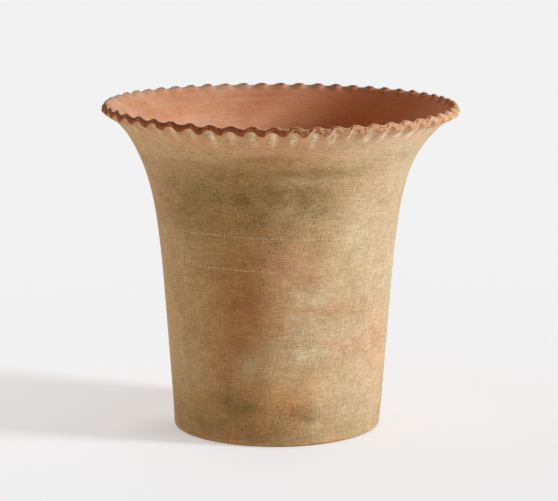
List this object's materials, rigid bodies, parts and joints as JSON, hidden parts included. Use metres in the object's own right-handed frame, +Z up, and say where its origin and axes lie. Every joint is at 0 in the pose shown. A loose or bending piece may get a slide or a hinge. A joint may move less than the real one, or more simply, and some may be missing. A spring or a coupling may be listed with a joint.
{
  "type": "terracotta plant pot",
  "caption": "Hand-thrown terracotta pot: a slightly tapered round body flares out to a wide mouth, and its lip is crimped all round like a pie crust.",
  "frame": {"origin": "centre of the foot, on the surface that the pot stands on", "axes": "+Z up along the pot's axis, out of its mouth; the pot is round, so +X and +Y are any two level directions"},
  "size_m": [0.3046, 0.3048, 0.28],
  "materials": {
    "bare_terracotta": "matte",
    "washed_terracotta": "matte"
  },
  "bodies": {
    "root": {"floor_slab": "bare_terracotta", "thrown_wall": "washed_terracotta", "seam_coil": "bare_terracotta", "rim_coil": "bare_terracotta"}
  },
  "joints": []
}
